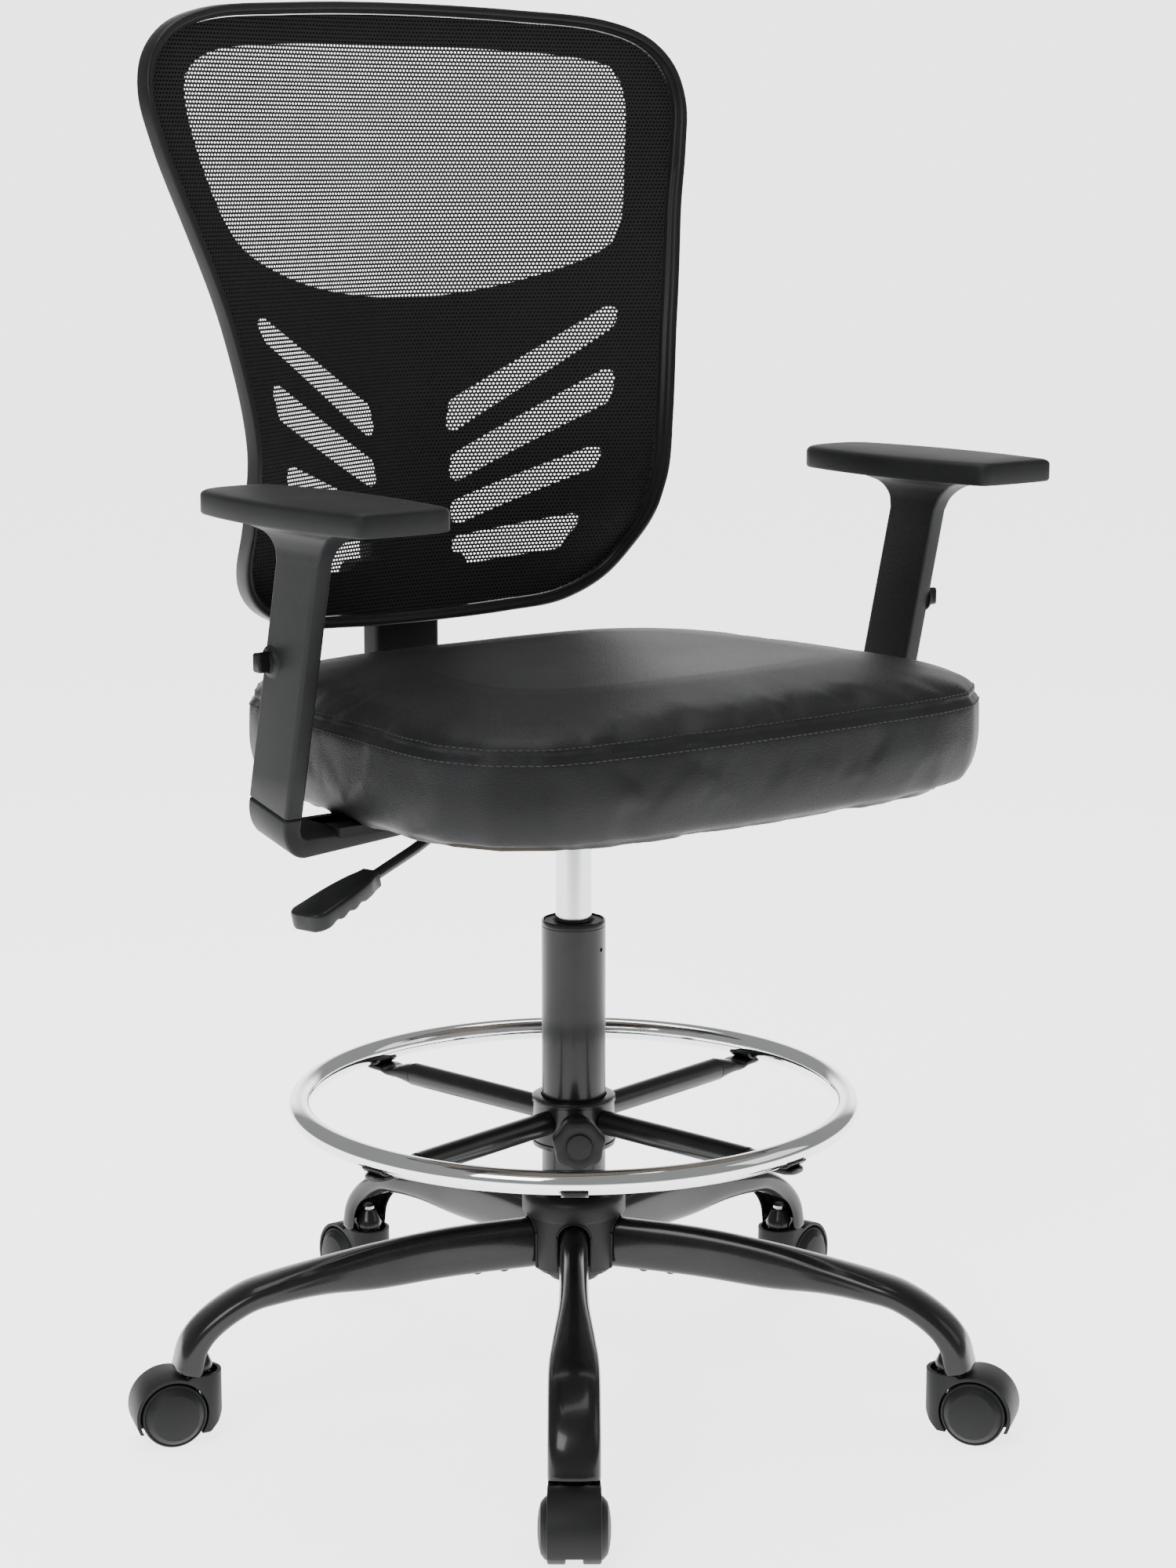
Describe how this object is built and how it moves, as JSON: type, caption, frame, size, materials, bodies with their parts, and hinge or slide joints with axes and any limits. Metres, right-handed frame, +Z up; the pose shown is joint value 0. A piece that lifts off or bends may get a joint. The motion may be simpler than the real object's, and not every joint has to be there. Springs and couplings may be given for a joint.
{
  "type": "drafting chair",
  "caption": "Tall swivel chair with a padded seat, waisted mesh back, height-adjustable arms, gas lift, clamped chrome foot ring and a five-star base on twin-wheel casters.",
  "frame": {"origin": "on the floor under the column, midway between the front-most and the rear-most caster", "axes": "+Z up, the sitter faces -Y, +X is the sitter's left"},
  "size_m": [0.6871, 0.6612, 1.089],
  "materials": {
    "black_paint": "gloss black powder coat on pressed steel",
    "column_paint": "satin black paint",
    "chrome": "bright chrome plate",
    "bare_steel": "ground bare steel",
    "black_nylon": "matte moulded nylon",
    "grey_plastic": "dark grey moulded plastic with a fine texture",
    "gloss_black": "glossy black moulded plastic",
    "faux_leather": "charcoal coated fabric, fine leather grain, over foam",
    "back_mesh": "black knitted polyester mesh, open weave",
    "plywood": "bare moulded plywood"
  },
  "bodies": {
    "base": {"base_leg_1": "black_paint", "base_leg_2": "black_paint", "base_leg_3": "black_paint", "base_leg_4": "black_paint", "base_leg_5": "black_paint", "hub_sleeve": "black_paint", "hub_cover": "black_nylon", "outer_column": "column_paint", "guide_bush": "black_nylon", "piston_rod": "bare_steel"},
    "lift": {"lift_tube": "chrome"},
    "seat": {"seat_cushion": "faux_leather", "seat_board": "plywood", "seat_mechanism": "column_paint", "arm_bracket_left": "grey_plastic", "arm_bracket_right": "grey_plastic", "back_frame": "grey_plastic", "back_mesh": "back_mesh", "back_spine": "grey_plastic"},
    "lever": {"lever_rod": "column_paint", "lever_paddle": "gloss_black"},
    "arm_left": {"arm_sleeve_left": "grey_plastic", "arm_pad_left": "grey_plastic"},
    "arm_right": {"arm_sleeve_right": "grey_plastic", "arm_pad_right": "grey_plastic"},
    "button_left": {"arm_button_left": "gloss_black"},
    "button_right": {"arm_button_right": "gloss_black"},
    "ring": {"ring_collar": "black_nylon", "foot_ring": "chrome", "ring_spoke_1": "column_paint", "ring_spoke_2": "column_paint", "ring_spoke_3": "column_paint", "ring_spoke_4": "column_paint", "ring_joint_clip": "column_paint"},
    "knob": {"ring_knob": "black_nylon"},
    "caster_1": {"caster_stem_1": "bare_steel", "caster_hood_1": "black_nylon", "caster_axle_1": "bare_steel"},
    "wheel_1a": {"caster_wheel_1a": "black_nylon"},
    "wheel_1b": {"caster_wheel_1b": "black_nylon"},
    "caster_2": {"caster_stem_2": "bare_steel", "caster_hood_2": "black_nylon", "caster_axle_2": "bare_steel"},
    "wheel_2a": {"caster_wheel_2a": "black_nylon"},
    "wheel_2b": {"caster_wheel_2b": "black_nylon"},
    "caster_3": {"caster_stem_3": "bare_steel", "caster_hood_3": "black_nylon", "caster_axle_3": "bare_steel"},
    "wheel_3a": {"caster_wheel_3a": "black_nylon"},
    "wheel_3b": {"caster_wheel_3b": "black_nylon"},
    "caster_4": {"caster_stem_4": "bare_steel", "caster_hood_4": "black_nylon", "caster_axle_4": "bare_steel"},
    "wheel_4a": {"caster_wheel_4a": "black_nylon"},
    "wheel_4b": {"caster_wheel_4b": "black_nylon"},
    "caster_5": {"caster_stem_5": "bare_steel", "caster_hood_5": "black_nylon", "caster_axle_5": "bare_steel"},
    "wheel_5a": {"caster_wheel_5a": "black_nylon"},
    "wheel_5b": {"caster_wheel_5b": "black_nylon"}
  },
  "joints": [
    {"name": "seat_height", "type": "slide", "parent": "base", "child": "lift", "axis": [0, 0, 1], "range_m": [0, 0.2]},
    {"name": "seat_swivel", "type": "hinge", "parent": "lift", "child": "seat", "pos_m": [0, -0.02513, 0.47], "axis": [0, 0, 1], "continuous": true},
    {"name": "height_lever", "type": "hinge", "parent": "seat", "child": "lever", "pos_m": [-0.048, -0.04713, 0.486], "axis": [0, 1, 0], "range_deg": [0, 2.4], "stiffness_Nm_per_rad": 3, "springref_deg": -5.73},
    {"name": "arm_height_left", "type": "slide", "parent": "seat", "child": "arm_left", "axis": [0, -0.226, 0.9741], "range_m": [0, 0.065]},
    {"name": "arm_height_right", "type": "slide", "parent": "seat", "child": "arm_right", "axis": [0, -0.226, 0.9741], "range_m": [0, 0.065]},
    {"name": "arm_button_press_left", "type": "slide", "parent": "arm_left", "child": "button_left", "axis": [-1, 0, 0], "range_m": [0, 0.0025], "stiffness_N_per_m": 300, "springref_m": -0.003},
    {"name": "arm_button_press_right", "type": "slide", "parent": "arm_right", "child": "button_right", "axis": [1, 0, 0], "range_m": [0, 0.0025], "stiffness_N_per_m": 300, "springref_m": -0.003},
    {"name": "foot_ring_height", "type": "slide", "parent": "base", "child": "ring", "axis": [0, 0, 1], "range_m": [-0.015, 0.12]},
    {"name": "ring_knob_turn", "type": "hinge", "parent": "ring", "child": "knob", "pos_m": [0, -0.02513, 0.226], "axis": [-0.5736, -0.8192, 0], "range_deg": [0, 360]},
    {"name": "caster_swivel_1", "type": "hinge", "parent": "base", "child": "caster_1", "pos_m": [0.01114, 0.27867, 0.05], "axis": [0, 0, 1], "continuous": true},
    {"name": "wheel_roll_1a", "type": "hinge", "parent": "caster_1", "child": "wheel_1a", "pos_m": [0.01195, 0.30065, 0.025], "axis": [-0.9993, 0.0366, 0], "continuous": true},
    {"name": "wheel_roll_1b", "type": "hinge", "parent": "caster_1", "child": "wheel_1b", "pos_m": [0.01195, 0.30065, 0.025], "axis": [-0.9993, 0.0366, 0], "continuous": true},
    {"name": "caster_swivel_2", "type": "hinge", "parent": "base", "child": "caster_2", "pos_m": [-0.28548, 0.07934, 0.05], "axis": [0, 0, 1], "continuous": true},
    {"name": "wheel_roll_2a", "type": "hinge", "parent": "caster_2", "child": "wheel_2a", "pos_m": [-0.30615, 0.0869, 0.025], "axis": [-0.3437, -0.9391, 0], "continuous": true},
    {"name": "wheel_roll_2b", "type": "hinge", "parent": "caster_2", "child": "wheel_2b", "pos_m": [-0.30615, 0.0869, 0.025], "axis": [-0.3437, -0.9391, 0], "continuous": true},
    {"name": "caster_swivel_3", "type": "hinge", "parent": "base", "child": "caster_3", "pos_m": [-0.18758, -0.26436, 0.05], "axis": [0, 0, 1], "continuous": true},
    {"name": "wheel_roll_3a", "type": "hinge", "parent": "caster_3", "child": "wheel_3a", "pos_m": [-0.20115, -0.28167, 0.025], "axis": [0.7869, -0.617, 0], "continuous": true},
    {"name": "wheel_roll_3b", "type": "hinge", "parent": "caster_3", "child": "wheel_3b", "pos_m": [-0.20115, -0.28167, 0.025], "axis": [0.7869, -0.617, 0], "continuous": true},
    {"name": "caster_swivel_4", "type": "hinge", "parent": "base", "child": "caster_4", "pos_m": [0.16956, -0.27745, 0.05], "axis": [0, 0, 1], "continuous": true},
    {"name": "wheel_roll_4a", "type": "hinge", "parent": "caster_4", "child": "wheel_4a", "pos_m": [0.18182, -0.29571, 0.025], "axis": [0.83, 0.5577, 0], "continuous": true},
    {"name": "wheel_roll_4b", "type": "hinge", "parent": "caster_4", "child": "wheel_4b", "pos_m": [0.18182, -0.29571, 0.025], "axis": [0.83, 0.5577, 0], "continuous": true},
    {"name": "caster_swivel_5", "type": "hinge", "parent": "base", "child": "caster_5", "pos_m": [0.29237, 0.05816, 0.05], "axis": [0, 0, 1], "continuous": true},
    {"name": "wheel_roll_5a", "type": "hinge", "parent": "caster_5", "child": "wheel_5a", "pos_m": [0.31353, 0.06418, 0.025], "axis": [-0.274, 0.9617, 0], "continuous": true},
    {"name": "wheel_roll_5b", "type": "hinge", "parent": "caster_5", "child": "wheel_5b", "pos_m": [0.31353, 0.06418, 0.025], "axis": [-0.274, 0.9617, 0], "continuous": true}
  ]
}
